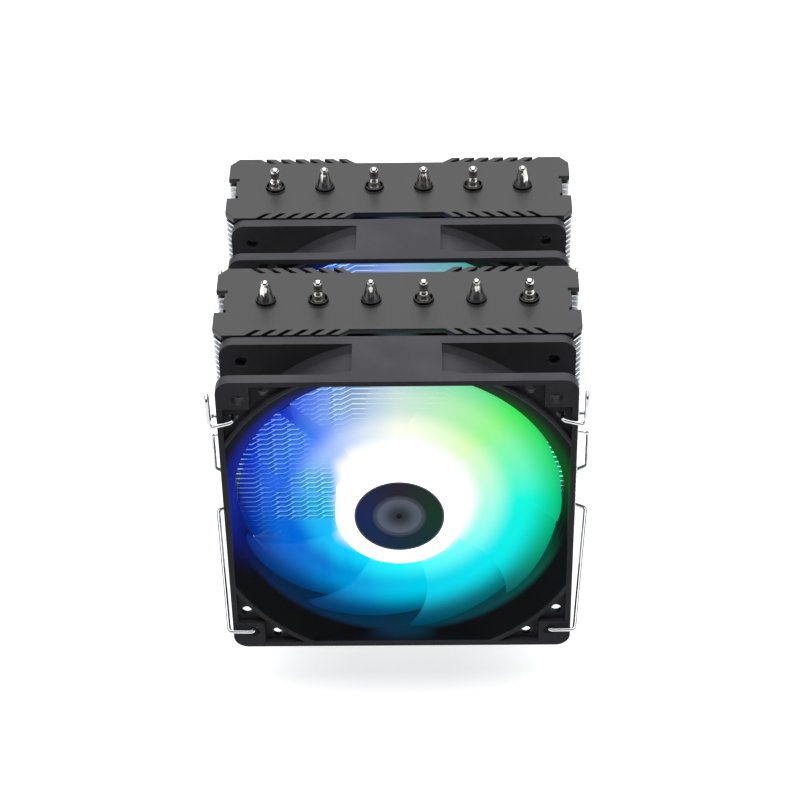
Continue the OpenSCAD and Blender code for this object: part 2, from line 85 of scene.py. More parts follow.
class Val:
    """A shader value. Arithmetic on it adds Math nodes."""

    def __init__(self, nodes: "Nodes", socket: Socket) -> None:
        """Wraps an output socket of the given node set."""
        self.nodes = nodes
        self.socket = socket

    def op(self, operation: str, *others: "Val | float", swap: bool = False) -> "Val":
        """Adds one Math node.

        Args:
            operation: the Math node's operation.
            others: its other operands.
            swap: puts this value after the others.

        Returns:
            The node's result.
        """
        operands = [*others, self] if swap else [self, *others]
        made = self.nodes.add("ShaderNodeMath", {"operation": operation}, dict(enumerate(operands)))
        return Val(self.nodes, made.outputs[0])

    def __add__(self, other: "Val | float") -> "Val":
        """Sum."""
        return self.op("ADD", other)

    __radd__ = __add__

    def __sub__(self, other: "Val | float") -> "Val":
        """Difference."""
        return self.op("SUBTRACT", other)

    def __rsub__(self, other: float) -> "Val":
        """Difference, reflected."""
        return self.op("SUBTRACT", other, swap=True)

    def __mul__(self, other: "Val | float") -> "Val":
        """Product."""
        return self.op("MULTIPLY", other)

    __rmul__ = __mul__

    def __truediv__(self, other: "Val | float") -> "Val":
        """Quotient."""
        return self.op("DIVIDE", other)

    def __pow__(self, other: float) -> "Val":
        """Power."""
        return self.op("POWER", other)

    def span(self, low: float, high: float) -> "Val":
        """Goes smoothly from 0 to 1.

        Args:
            low: where it leaves 0.
            high: where it reaches 1.

        Returns:
            The smooth step.
        """
        made = self.nodes.add(
            "ShaderNodeMapRange",
            {"interpolation_type": "SMOOTHSTEP"},
            {"Value": self, "From Min": low, "From Max": high},
        )
        return Val(self.nodes, made.outputs[0])


class Nodes:
    """The node tree of one material, filled through one method."""

    def __init__(self, name: str) -> None:
        """Starts an empty material of this name."""
        self.material = bpy.data.materials.new(name)
        self.material.use_nodes = True
        self.tree = self.material.node_tree
        self.tree.nodes.clear()

    def add(
        self, kind: str, settings: dict | None = None, inputs: dict | None = None
    ) -> bpy.types.Node:
        """Adds a node.

        Args:
            kind: the node's type.
            settings: its properties, or stops for a ramp; they are set first.
            inputs: values or links for its sockets, by name or number.

        Returns:
            The new node.
        """
        node = self.tree.nodes.new(kind)
        for key, value in (settings or {}).items():
            if key == "stops":
                ramp = node.color_ramp
                while len(ramp.elements) < len(value):
                    ramp.elements.new(0.5)
                for element, (place, colour) in zip(ramp.elements, value):
                    element.position = place
                    element.color = colour
            else:
                setattr(node, key, value)
        for key, value in (inputs or {}).items():
            socket = node.inputs[key]
            if isinstance(value, Val):
                value = value.socket
            if isinstance(value, Socket):
                self.tree.links.new(value, socket)
            else:
                socket.default_value = value
        return node

    def place(self) -> Socket:
        """The point on the piece, in metres in the shared frame."""
        return self.add("ShaderNodeTexCoord").outputs["Object"]

    def axes(self) -> tuple[Val, Val, Val]:
        """The point's three coordinates, in millimetres."""
        split = self.add("ShaderNodeSeparateXYZ", None, {0: self.place()})
        return tuple(Val(self, s) * (1 / MM) for s in split.outputs)

    def stretched(self, stretch: Triple) -> Socket:
        """The point, with each axis multiplied by a stretch per millimetre."""
        factors = [s / MM for s in stretch]
        return self.add(
            "ShaderNodeVectorMath", {"operation": "MULTIPLY"}, {0: self.place(), 1: factors}
        ).outputs[0]

    def noise(self, stretch: Triple, detail: float = 3.0) -> Val:
        """Cloudy noise from 0 to 1.

        Args:
            stretch: how many features there are per millimetre along each axis.
            detail: octaves.

        Returns:
            The noise.
        """
        made = self.add(
            "ShaderNodeTexNoise",
            None,
            {"Vector": self.stretched(stretch), "Scale": 1.0, "Detail": detail, "Roughness": FINE_OCTAVES},
        )
        return Val(self, made.outputs[0])

    def mix(
        self, factor: Val | float, first: object, second: object, blend: str = "MIX"
    ) -> Socket:
        """Mixes two colours.

        Args:
            factor: 0 for the first and 1 for the second.
            first: a colour or a link.
            second: a colour or a link.
            blend: the kind of mixing.

        Returns:
            The mixed colour.
        """
        node = self.add(
            "ShaderNodeMix",
            {"data_type": "RGBA", "blend_type": blend, "clamp_factor": True},
            {0: factor, 6: first, 7: second},
        )
        return node.outputs[2]

    def ramp(self, value: Val, stops: list) -> Socket:
        """A colour for each value, from (place, colour) stops."""
        return self.add("ShaderNodeValToRGB", {"stops": stops}, {0: value}).outputs[0]

    def bump(self, height: Val, depth: float) -> Socket:
        """Relief of the given depth in millimetres."""
        sockets = {"Height": height, "Distance": depth * MM, "Strength": 1.0}
        return self.add("ShaderNodeBump", None, sockets).outputs[0]

    def finish(self, **inputs: object) -> Material:
        """Joins a Principled shader to the output.

        Args:
            inputs: its sockets, with underscores for spaces.

        Returns:
            The finished material.
        """
        sockets = {k.replace("_", " "): v for k, v in inputs.items()}
        shader = self.add("ShaderNodeBsdfPrincipled", None, sockets)
        output = self.add("ShaderNodeOutputMaterial")
        self.tree.links.new(shader.outputs[0], output.inputs[0])
        return self.material


# ---------- Finishes ----------


def mottle(cloud: Val, fine: Val) -> Val:
    """Mixes a broad cloud and a fine grain into one uneven value from 0 to 1."""
    return cloud.span(0.3, 0.7) * 0.6 + fine * 0.4


def sprayed(n: Nodes, roughness: float) -> tuple[Val, Val, Socket]:
    """Makes what every sprayed coat shares: orange peel, fine specks and a broad cloud.

    Args:
        n: the material's nodes.
        roughness: the coat's mean roughness.

    Returns:
        How mottled the coat is, its roughness and its relief.
    """
    peel = n.noise((1.4, 1.4, 1.4), 2.0)
    speck = n.noise((9.0, 9.0, 9.0), 1.0)
    cloud = n.noise((0.03, 0.03, 0.03))
    rough = roughness + (peel - 0.5) * 0.08 + (cloud - 0.5) * 0.05
    return mottle(cloud, speck), rough, n.bump(peel * 0.7 + speck * 0.3, 0.006)


class Grain(Enum):
    """Direction that a metal was rolled, drawn or turned in, as features per millimetre."""

    ALONG_X = (0.15, 9.0, 9.0)
    ALONG_Y = (9.0, 0.15, 9.0)
    ALONG_Z = (9.0, 9.0, 0.12)
    EVEN = (3.0, 3.0, 3.0)


@dataclass(frozen=True)
class Metal:
    """A bare or plated metal, with fine grain and faint smudges."""

    name: str
    light: str
    dark: str
    roughness: float
    grain: Grain = Grain.EVEN
    grain_depth: float = 0.004
    grain_rough: float = 0.08
    smudge: float = 0.06
    glossiest: float = 0.02

    def build(self) -> Material:
        """Makes the material."""
        n = Nodes(self.name)
        grain = n.noise(self.grain.value)
        cloud = n.noise((0.12, 0.12, 0.12), 4.0)
        tone = n.mix(mottle(cloud, grain), linear(self.light), linear(self.dark))
        rough = self.roughness + (grain - 0.5) * self.grain_rough + (cloud - 0.5) * self.smudge
        return n.finish(
            Base_Color=tone,
            Metallic=1.0,
            Roughness=rough.op("MAXIMUM", self.glossiest),
            Normal=n.bump(grain, self.grain_depth),
        )


@dataclass(frozen=True)
class Plastic:
    """A moulded plastic with a fine spark texture and slight unevenness."""

    name: str
    colour: str
    worn: str
    roughness: float
    spark: float = 5.0
    spark_depth: float = 0.012

    def build(self) -> Material:
        """Makes the material."""
        n = Nodes(self.name)
        spark = n.noise((self.spark,) * 3, 2.0)
        cloud = n.noise((0.06, 0.06, 0.06))
        return n.finish(
            Base_Color=n.mix(cloud.span(0.35, 0.75), linear(self.colour), linear(self.worn)),
            Roughness=self.roughness + (spark - 0.5) * 0.12 + (cloud - 0.5) * 0.08,
            Specular_IOR_Level=0.4,
            Normal=n.bump(spark, self.spark_depth),
        )


@dataclass(frozen=True)
class Lamp:
    """One lamp under the hub: its angle, and its light near the hub, halfway out and at the rim."""

    angle: float
    near: str
    middle: str
    rim: str


LAMPS = (
    Lamp(0, "aeffe6", "14f8dc", "04d088"),
    Lamp(45, "e2ffc6", "9cf994", "48ee62"),
    Lamp(90, "fbfff0", "cfe5dc", "a4d0d8"),
    Lamp(135, "aac6fa", "427ef8", "1440f4"),
    Lamp(180, "30a8ee", "0a5cdc", "0424a0"),
    Lamp(225, "06cbfa", "0278ce", "02427e"),
    Lamp(270, "20faff", "02c6ea", "02567c"),
    Lamp(315, "74fff8", "06e7f0", "027876"),
)
FAN_CENTRE_Z = 86.0


@dataclass(frozen=True)
class Spot:
    """Where a point is: right of the fan's axis, above it, from it, and behind its front, in millimetres."""

    x: Val
    up: Val
    radius: Val
    depth: Val

    @property
    def turn(self) -> Val:
        """How far round the axis it is, from 0 to 1."""
        return (self.up.op("ARCTAN2", self.x) / (2 * math.pi) + 1.0).op("FRACT")


@dataclass(frozen=True)
class Glow:
    """Light of the lamp ring as it spreads over a piece, as a colour for each angle and radius.

    A pair of numbers, here and in the finishes below, is where a soft mask starts and ends.
    """

    name: str
    front_y: float = 0.0
    strength: float = 1.0
    near_ring: Pair = (23.5, 30.5)
    middle_ring: Pair = (30.5, 41.0)
    rim_ring: Pair = (43.0, 55.0)
    left_side: Pair = (0.75, 1.0)
    left_narrowing: float = 5.0

    def around(self, n: Nodes) -> Spot:
        """Reads where a point is on the fan.

        Args:
            n: the material's nodes.

        Returns:
            The point's place.
        """
        x, y, z = n.axes()
        up = z - FAN_CENTRE_Z
        return Spot(x, up, (x * x + up * up) ** 0.5, y - self.front_y)

    def colour(self, n: Nodes, spot: Spot) -> Socket:
        """Mixes the rings of light.

        Args:
            n: the material's nodes.
            spot: where the point is.

        Returns:
            The light's colour.
        """
        turn, radius = spot.turn, spot.radius
        rings = []
        for ring in ("near", "middle", "rim"):
            stops = [(lamp.angle / 360, linear(getattr(lamp, ring))) for lamp in LAMPS]
            stops.append((1.0, stops[0][1]))
            rings.append(n.ramp(turn, stops))
        left = (0 - spot.x / radius.op("MAXIMUM", 1.0)).span(*self.left_side)
        near = n.mix((radius + left * self.left_narrowing).span(*self.near_ring), WHITE, rings[0])
        middle = n.mix(radius.span(*self.middle_ring), near, rings[1])
        return n.mix(radius.span(*self.rim_ring), middle, rings[2])


@dataclass(frozen=True)
class BladeFinish(Glow):
    """Milky blades lit from the hub, thin enough for the fins to show through, with painted reflection
    streaks over their lower left.
    """

    dim: float = 1.0
    slant: float = 0.6
    middle_depth: float = 12.0
    front_edge: Pair = (3.6, 6.5)
    rear_edge: Pair = (17.0, 19.6)
    tip_shade: Pair = (52.5, 60.0)
    # Where the painted reflection streaks lie, and the colour they tint the glow.
    streak_left: Pair = (-10.0, 20.0)
    streak_down: Pair = (6.0, 20.0)
    reflection_streak_tint: Colour = (0.78, 0.86, 1.0, 1.0)
    upper_clear: float = 0.62
    upper_slope: float = 0.55
    upper_rise: Pair = (-4.0, 40.0)
    upper_reach: Pair = (30.0, 46.0)
    upper_right: Pair = (-20.0, 30.0)
    top_clear: float = 0.42
    top_rise: Pair = (34.0, 50.0)
    top_right: Pair = (8.0, 26.0)
    window_clear: float = 0.66
    window_inner: Pair = (21.0, 24.0)
    window_outer: Pair = (42.0, 48.0)
    window_corner: Pair = (44.0, 50.0)
    window_low: Pair = (-11.0, -9.0)
    window_high: Pair = (8.0, 20.0)

    def clearness(self, spot: Spot) -> Val:
        """Finds how well the fins show through.

        Args:
            spot: where the point is.

        Returns:
            0 where the blade is milky, and more where it is clear.
        """
        x, up, left = spot.x, spot.up, 0 - spot.x
        upper = (up - x * self.upper_slope).span(*self.upper_rise) * spot.radius.span(*self.upper_reach)
        upper = upper * (1 - x.span(*self.upper_right))
        top = up.span(*self.top_rise) * (1 - x.span(*self.top_right))
        window = left.span(*self.window_inner) * (1 - (left + up).span(*self.window_corner))
        window = window * up.span(*self.window_low) * (1 - up.span(*self.window_high))
        window = window * (1 - left.span(*self.window_outer))
        clear = (upper * self.upper_clear).op("MAXIMUM", top * self.top_clear)
        return clear.op("MAXIMUM", window * self.window_clear)

    def build(self) -> Material:
        """Makes the material."""
        n = Nodes(self.name)
        flat = self.around(n)
        x, depth = flat.x, flat.depth
        up = flat.up + (depth - self.middle_depth) * self.slant
        spot = Spot(x, up, (x * x + up * up) ** 0.5, depth)
        edge = depth.span(*self.front_edge) * (1 - depth.span(*self.rear_edge))
        clear = self.clearness(spot)
        shade = 1 - spot.radius.span(*self.tip_shade) * 0.5
        # Painted reflections: stretched noise darkens the glow into bluish streaks over the lower left of the
        # blades.
        streak_noise = n.noise((0.12, 0.03, 0.03))
        reflection_streak = (0 - x).span(*self.streak_left) * (0 - up).span(*self.streak_down)
        tint = (self.dim * 0.8, self.dim * 0.9, 1.0, 1.0) if self.dim < 1 else WHITE
        dim = n.mix(streak_noise.span(0.35, 0.7) * reflection_streak, tint, self.reflection_streak_tint)
        lit = n.mix(1.0, self.colour(n, spot), n.mix(shade, BLACK, dim), "MULTIPLY")
        thin = 1 - (1 - edge) * (clear * 3.0).op("MINIMUM", 0.6)
        alpha = (0.985 - clear) * thin
        return n.finish(
            Base_Color=n.mix(0.97, lit, BLACK),
            Roughness=0.45 + (streak_noise - 0.5) * 0.1,
            Specular_IOR_Level=0.05,
            Emission_Color=lit,
            Emission_Strength=self.strength,
            Alpha=alpha.op("MINIMUM", 1.0).op("MAXIMUM", 0.0),
        )


@dataclass(frozen=True)
class HubFinish(Glow):
    """Milky hub right over the lamps, brighter than anything round it."""

    shift: float = 7.0

    def build(self) -> Material:
        """Makes the material."""
        n = Nodes(self.name)
        spot = self.around(n)
        light = self.colour(n, Spot(spot.x, spot.up, spot.radius + self.shift, spot.depth))
        cloud = n.noise((0.2, 0.2, 0.2), 2.0)
        return n.finish(
            Base_Color=(0.8, 0.82, 0.82, 1.0),
            Roughness=0.3 + cloud * 0.1,
            Emission_Color=n.mix(0.85, light, WHITE),
            Emission_Strength=self.strength,
        )


@dataclass(frozen=True)
class FrameFinish(Glow):
    """Black moulded plastic, with the lamps' light painted on the inside of the duct and painted shade
    darkening the duct's wall nearly to black.
    """

    throat_r: float = 57.5
    cone_depth: float = 8.0
    cone_spread: float = 9.0
    wall_margin: float = 0.9
    flange: Pair = (0.25, 0.8)
    square_edge: Pair = (58.4, 58.8)
    struts: Pair = (54.0, 56.0)
    fade: Pair = (58.0, 64.5)

    def inside(self, spot: Spot) -> Val:
        """Finds the duct's own wall.

        Args:
            spot: where the point is.

        Returns:
            1 on the wall and 0 elsewhere.
        """
        wall = self.throat_r + (1 - spot.depth / self.cone_depth).op("MAXIMUM", 0.0) * self.cone_spread
        square = spot.x.op("ABSOLUTE").op("MAXIMUM", spot.up.op("ABSOLUTE"))
        inside = (wall + self.wall_margin - spot.radius).span(0.0, 0.4) * spot.depth.span(*self.flange)
        return inside * (1 - square.span(*self.square_edge)) * spot.radius.span(*self.struts)

    def build(self) -> Material:
        """Makes the material."""
        n = Nodes(self.name)
        spot = self.around(n)
        x, up, radius, depth = spot.x, spot.up, spot.radius, spot.depth
        inside = self.inside(spot)
        rim = inside * (1 - radius.span(*self.fade))
        left = rim * (0 - x).span(14.0, 46.0) * (up + 34.0).span(0.0, 40.0)
        right = rim * x.span(20.0, 50.0) * up.span(-14.0, 20.0)
        low = inside * depth.span(-1.0, 7.0) * (0 - up).span(10.0, 40.0) * (1 - radius.span(57.8, 59.6))
        glow = n.mix(left, BLACK, linear("071c8e"))
        glow = n.mix(right, glow, linear("014e0c"))
        glow = n.mix(low * 0.3, glow, self.colour(n, spot))
        spark = n.noise((4.0, 4.0, 4.0), 2.0)
        cloud = n.noise((0.05, 0.05, 0.05))
        black = n.mix(cloud.span(0.35, 0.75), linear("38383d"), linear("424247"))
        return n.finish(
            # Painted shade: on the duct's inside wall the base colour goes nearly black.
            Base_Color=n.mix(inside * 0.9, black, (0.0, 0.0, 0.001, 1.0)),
            Roughness=0.5 + (spark - 0.5) * 0.12 + (cloud - 0.5) * 0.06 + inside * 0.3,
            Specular_IOR_Level=0.12,
            Emission_Color=glow,
            Emission_Strength=self.strength,
            Normal=n.bump(spark, 0.01),
        )


@dataclass(frozen=True)
class CapFinish(Glow):
    """Dark glossy disc on the hub, with the lamps' light painted as a glow on its edge and a paler middle."""

    edge_glow_colours: tuple[str, ...] = ("02301c", "1c1624", "041c50", "00243a", "02301c")
    dot: Pair = (0.9, 1.5)
    dish: Pair = (1.6, 7.0)
    groove: Pair = (7.3, 8.0)
    ring: Pair = (8.2, 9.8)
    lit_ring: Pair = (7.6, 10.4)
    lip: Pair = (14.7, 15.1)
    grooves_per_mm: float = 9.0

    def build(self) -> Material:
        """Makes the material."""
        n = Nodes(self.name)
        spot = self.around(n)
        radius = spot.radius
        last = len(self.edge_glow_colours) - 1
        edge_glow_colours = [(i / last, linear(code)) for i, code in enumerate(self.edge_glow_colours)]
        lip = radius.span(*self.lip)
        turned = (radius * self.grooves_per_mm).op("SINE") * 0.5 + 0.5
        disc = n.mix(radius.span(*self.dish), linear("5a6070"), linear("a6b2ca"))
        disc = n.mix(radius.span(*self.groove) * 0.5, disc, linear("0c0d12"))
        disc = n.mix(radius.span(*self.ring), disc, linear("020203"))
        disc = n.mix(lip, disc, linear("7c8698"))
        lit = radius.span(*self.lit_ring) * (1 - lip * 0.5)
        return n.finish(
            Base_Color=n.mix(radius.span(*self.dot), linear("040405"), disc),
            Roughness=0.34 + turned * 0.05,
            Specular_IOR_Level=0.08,
            # Painted glow: the lamps' light round the disc's edge, its colour changing with the angle.
            Emission_Color=n.mix(lit * 0.9 + 0.1, BLACK, n.ramp(spot.turn, edge_glow_colours)),
            Emission_Strength=self.strength,
            Normal=n.bump(turned, 0.003),
        )


@dataclass(frozen=True)
class Lacquer:
    """Satin black paint over stamped metal."""

    name: str
    colour: str
    roughness: float
    paler: float = 1.25

    def build(self) -> Material:
        """Makes the material."""
        n = Nodes(self.name)
        mottled, rough, relief = sprayed(n, self.roughness)
        base = linear(self.colour)
        pale = (*[c * self.paler for c in base[:3]], 1.0)
        tone = n.mix(mottled, base, pale)
        return n.finish(Base_Color=tone, Roughness=rough, Specular_IOR_Level=0.5, Normal=relief)


@dataclass(frozen=True)
class CoverFinish:
    """Satin black paint, glossier and darker on the collars round the pipes."""

    name: str = "satin_black_cover"
    roughness: float = 0.38
    pitch: float = 18.0
    stack_y: float = 35.0
    collar_z: float = 146.55
    collar_r: float = 3.58

    def build(self) -> Material:
        """Makes the material."""
        n = Nodes(self.name)
        x, y, z = n.axes()
        across = ((x / self.pitch + 8.0).op("FRACT") - 0.5) * self.pitch
        along = y.op("ABSOLUTE") - self.stack_y
        reach = (across * across + along * along) ** 0.5
        above = z.span(self.collar_z, self.collar_z + 0.1)
        collar = (1 - reach.span(self.collar_r, self.collar_r + 0.15)) * above
        mottled, rough, relief = sprayed(n, self.roughness)
        return n.finish(
            Base_Color=n.mix(collar, n.mix(mottled, linear("131316"), linear("18181b")), linear("030304")),
            Roughness=rough - collar * 0.2,
            Specular_IOR_Level=0.45,
            Normal=relief,
        )


@dataclass(frozen=True)
class FinFinish(Glow):
    """Rolled aluminium fins with bright sheared edges, lit by the fan in front of them."""

    first_z: float = 57.0
    pitch: float = 2.2
    thickness: float = 0.4
    burr: float = 0.05
    lit_depth: Pair = (0.5, 9.0)
    duct_edge: Pair = (56.5, 58.0)
    glint: Colour = (0.4, 0.85, 1.0, 1.0)

    def build(self) -> Material:
        """Makes the material."""
        n = Nodes(self.name)
        spot = self.around(n)
        height = ((spot.up + FAN_CENTRE_Z - self.first_z) / self.pitch + 4.0).op("FRACT") * self.pitch
        edge = height.span(0.0, self.burr) * (1 - height.span(self.thickness - self.burr, self.thickness))
        near = (1 - spot.depth.span(*self.lit_depth)) * (1 - spot.radius.span(*self.duct_edge))
        light = self.colour(n, spot)
        shine = n.mix(edge * near, n.mix(near * 0.12, BLACK, light), n.mix(0.35, light, self.glint))
        grain = n.noise(Grain.ALONG_X.value)
        cloud = n.noise((0.12, 0.12, 0.12), 4.0)
        tone = n.mix(mottle(cloud, grain), linear("e4e6e8"), linear("c4c8cc"))
        return n.finish(
            Base_Color=n.mix(edge, tone, linear("f6f7f8")),
            Metallic=1.0,
            Roughness=0.3 + (grain - 0.5) * 0.1 + edge * 0.15,
            Emission_Color=shine,
            Emission_Strength=self.strength,
            Normal=n.bump(grain, 0.004),
        )


@dataclass(frozen=True)
class Ribbed:
    """Metal in fine even ribs: stacked sheets, or wire wound side by side."""

    name: str
    across: Triple
    pitch: float
    dark: str
    light: str
    metallic: float
    roughness: float
    cloud: float
    depth: float

    def build(self) -> Material:
        """Makes the material."""
        n = Nodes(self.name)
        x, y, z = (axis * factor for axis, factor in zip(n.axes(), self.across))
        rib = ((x + y + z) * (2 * math.pi / self.pitch)).op("SINE") * 0.5 + 0.5
        return n.finish(
            Base_Color=n.mix(rib, linear(self.dark), linear(self.light)),
            Metallic=self.metallic,
            Roughness=self.roughness + n.noise((self.cloud,) * 3) * 0.15,
            Normal=n.bump(rib, self.depth),
        )


@dataclass(frozen=True)
class Board:
    """Green circuit board with tinned tracks."""

    name: str = "circuit_board_green"
    cells_per_mm: float = 0.45

    def build(self) -> Material:
        """Makes the material."""
        n = Nodes(self.name)
        cells = n.add(
            "ShaderNodeTexVoronoi",
            {"feature": "DISTANCE_TO_EDGE"},
            {"Vector": n.stretched((self.cells_per_mm,) * 3), "Scale": 1.0},
        )
        track = 1 - Val(n, cells.outputs["Distance"]).span(0.05, 0.09)
        return n.finish(
            Base_Color=n.mix(track, linear("0d4a2a"), linear("2f7d4c")),
            Roughness=0.35 + track * 0.1,
            Normal=n.bump(track, 0.04),
        )


@dataclass(frozen=True)
class LampFinish:
    """Clouded lens over a row of lamps."""

    name: str = "lamp_diffuser"
    strength: float = 3.0

    def build(self) -> Material:
        """Makes the material."""
        n = Nodes(self.name)
        cloud = n.noise((1.0, 1.0, 1.0))
        return n.finish(
            Base_Color=n.mix(cloud, linear("f2f2ec"), linear("e2e4e0")),
            Roughness=0.3 + cloud * 0.2,
            Emission_Color=n.mix(cloud, WHITE, linear("e6faff")),
            Emission_Strength=self.strength,
        )


@dataclass(frozen=True)
class FloorFinish:
    """Pale matte sheet that glows a little, so that shadows on it stay faint."""

    name: str = "pale_floor"
    strength: float = 0.7

    def build(self) -> Material:
        """Makes the material."""
        n = Nodes(self.name)
        return n.finish(
            Base_Color=n.mix(n.noise((0.004,) * 3), (0.60, 0.60, 0.60, 1.0), (0.64, 0.64, 0.64, 1.0)),
            Roughness=0.9,
            Specular_IOR_Level=0.1,
            Emission_Color=WHITE,
            Emission_Strength=self.strength,
        )


class Palette:
    """Every finish on the cooler, each built once."""

    def __init__(self) -> None:
        """Builds the finishes that several pieces share."""
        nickel = Metal("nickel_plate", "f2efea", "dad6d0", 0.07, Grain.ALONG_Z, 0.001, 0.02, 0.04)
        self.nickel = nickel.build()
        self.copper_plate = Metal("plated_base", "d9d6d0", "c2beb8", 0.22, Grain.ALONG_X, 0.004).build()
        self.block = Metal("milled_aluminium", "c9cbcd", "aeb0b3", 0.34, Grain.ALONG_Y, 0.006).build()
        self.black_steel = Lacquer("black_mounting_steel", "202023", 0.4).build()
        self.steel = Metal("screw_steel", "c9cacc", "a9abae", 0.2, Grain.EVEN, 0.003).build()
        self.dark_steel = Metal("dark_steel", "6f7175", "505256", 0.35, Grain.EVEN, 0.004).build()
        self.wire = Metal("clip_wire_steel", "e4e4e6", "b9babd", 0.14, Grain.EVEN, 0.002, 0.05, 0.05).build()
        self.bronze = Metal("sintered_bronze", "b08a4a", "8a6530", 0.45, Grain.EVEN, 0.02).build()
        self.cover = CoverFinish().build()
        self.cap = CapFinish("hub_cap_disc").build()
        self.hub = HubFinish("milky_hub", strength=1.3).build()
        self.plate = Plastic("hub_plate_grey", "1b1b1d", "232325", 0.35).build()
        self.magnet = Plastic("ferrite", "2c2c2e", "39393b", 0.6, 3.0, 0.03).build()
        sheets = Ribbed("steel_laminations", (0, 1, 0), 0.5, "3c3e42", "77797d", 1.0, 0.4, 0.3, 0.03)
        self.laminate = sheets.build()
        wires = Ribbed("copper_windings", (1, 0, 1), 0.45, "7a3412", "c8703a", 0.9, 0.28, 0.5, 0.12)
        self.windings = wires.build()
        self.board = Board().build()
        self.lamp = LampFinish().build()


# ---------- Mesh tools ----------

ROD_MERGE = 1e-4
THIN = 1e-5
NODE_MERGE = 2e-6
FLAT_ANGLE = math.radians(0.6)
SHARP_ANGLE = math.radians(30.0)
BEND_SHARE = 0.48


def millimetres(bm: BMesh, place: Matrix | None = None) -> None:
    """Turns a shape drawn in millimetres into metres, then puts it in place.

    Args:
        bm: the shape.
        place: where it goes, or None to leave it at the origin.
    """
    matrix = (place or Matrix.Identity(4)) @ Matrix.Scale(MM, 4)
    bmesh.ops.transform(bm, matrix=matrix, verts=bm.verts)


def lathe(profile: list[Pair], steps: int) -> BMesh:
    """Spins a profile of (radius, height) points about Z.

    Args:
        profile: the points, from one end to the other.
        steps: steps round the axis.

    Returns:
        The closed shape.
    """
    bm = bmesh.new()
    verts = [bm.verts.new((radius, 0.0, height)) for radius, height in profile]
    edges = [bm.edges.new(pair) for pair in zip(verts, verts[1:])]
    bmesh.ops.spin(
        bm, geom=verts + edges, cent=(0, 0, 0), axis=(0, 0, 1), angle=2 * math.pi, steps=steps, use_merge=True
    )
    bmesh.ops.remove_doubles(bm, verts=bm.verts, dist=ROD_MERGE)
    bmesh.ops.dissolve_degenerate(bm, edges=bm.edges, dist=THIN)
    bmesh.ops.recalc_face_normals(bm, faces=bm.faces)
    return bm


def rounded(corners: list[Triple], radii: list[float], steps: int) -> list[Vector]:
    """Rounds the corners of a path.

    Args:
        corners: the path's corners.
        radii: bend radius at each corner but the first and the last.
        steps: points round each bend.

    Returns:
        The points of the smooth path.
    """
    path = [Vector(c) for c in corners]
    points = [path[0]]
    for before, corner, after, radius in zip(path, path[1:], path[2:], radii):
        into, out = (corner - before), (after - corner)
        turn = into.angle(out)
        reach = min(radius * math.tan(turn / 2), BEND_SHARE * into.length, BEND_SHARE * out.length)
        bend = reach / math.tan(turn / 2)
        u, v = into.normalized(), out.normalized()
        inward = (v - u * u.dot(v)).normalized()
        centre = corner - u * reach + inward * bend
        for i in range(steps + 1):
            a = turn * i / steps
            points.append(centre - inward * bend * math.cos(a) + u * bend * math.sin(a))
    points.append(path[-1])
    return points


def sweep(points: list[Vector], radii: list[float], sides: int) -> BMesh:
    """Draws a round rod along a path.

    Args:
        points: the path.
        radii: the rod's radius at each point.
        sides: sides of the rod.

    Returns:
        The closed rod.
    """
    ahead = [(b - a).normalized() for a, b in zip(points, points[1:])]
    ahead = [ahead[0], *[(a + b).normalized() for a, b in zip(ahead, ahead[1:])], ahead[-1]]
    turn = Vector((0, 0, 1)).rotation_difference(ahead[0])
    frames = []
    for i, (point, way) in enumerate(zip(points, ahead)):
        if i:
            turn = ahead[i - 1].rotation_difference(way) @ turn
        frames.append(Matrix.Translation(point) @ turn.to_matrix().to_4x4() @ Matrix.Scale(radii[i], 4))
    bm = bmesh.new()
    bmesh.ops.create_circle(bm, cap_ends=True, radius=1.0, segments=sides, matrix=frames[0])
    ring = list(bm.edges)
    for before, after in zip(frames, frames[1:]):
        made = bmesh.ops.extrude_edge_only(bm, edges=ring)["geom"]
        verts = [g for g in made if isinstance(g, bmesh.types.BMVert)]
        fresh = set(verts)
        ring = [g for g in made if isinstance(g, bmesh.types.BMEdge) and fresh.issuperset(g.verts)]
        bmesh.ops.transform(bm, matrix=after @ before.inverted(), verts=verts)
    bmesh.ops.contextual_create(bm, geom=ring)
    bmesh.ops.remove_doubles(bm, verts=bm.verts, dist=ROD_MERGE)
    bmesh.ops.recalc_face_normals(bm, faces=bm.faces)
    return bm


def from_node(node: str, width: float) -> BMesh:
    """Copies a node's shape, joins its flat faces and rounds its sharp edges.

    Args:
        node: the node's name.
        width: width of the rounding, in millimetres.

    Returns:
        The copy, in metres and in place.
    """
    bm = bmesh.new()
    bm.from_mesh(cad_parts[node].data)
    bmesh.ops.remove_doubles(bm, verts=bm.verts, dist=NODE_MERGE)
    bmesh.ops.dissolve_limit(bm, angle_limit=FLAT_ANGLE, verts=bm.verts, edges=bm.edges)
    sharp = [e for e in bm.edges if len(e.link_faces) == 2 and e.calc_face_angle(0) > SHARP_ANGLE]
    bmesh.ops.bevel(
        bm,
        geom=sharp,
        offset=width * MM,
        offset_type="OFFSET",
        affect="EDGES",
        segments=2,
        profile=0.5,
        material=-1,
        clamp_overlap=True,
    )
    return bm


def show(name: str, data: bpy.types.ID, matrix: Matrix | None = None) -> bpy.types.Object:
    """Puts an object in the scene.

    Args:
        name: its name.
        data: its mesh, camera or light.
        matrix: its place, or None for the origin.

    Returns:
        The object.
    """
    obj = bpy.data.objects.new(name, data)
    if matrix:
        obj.matrix_world = matrix
    bpy.context.scene.collection.objects.link(obj)
    return obj


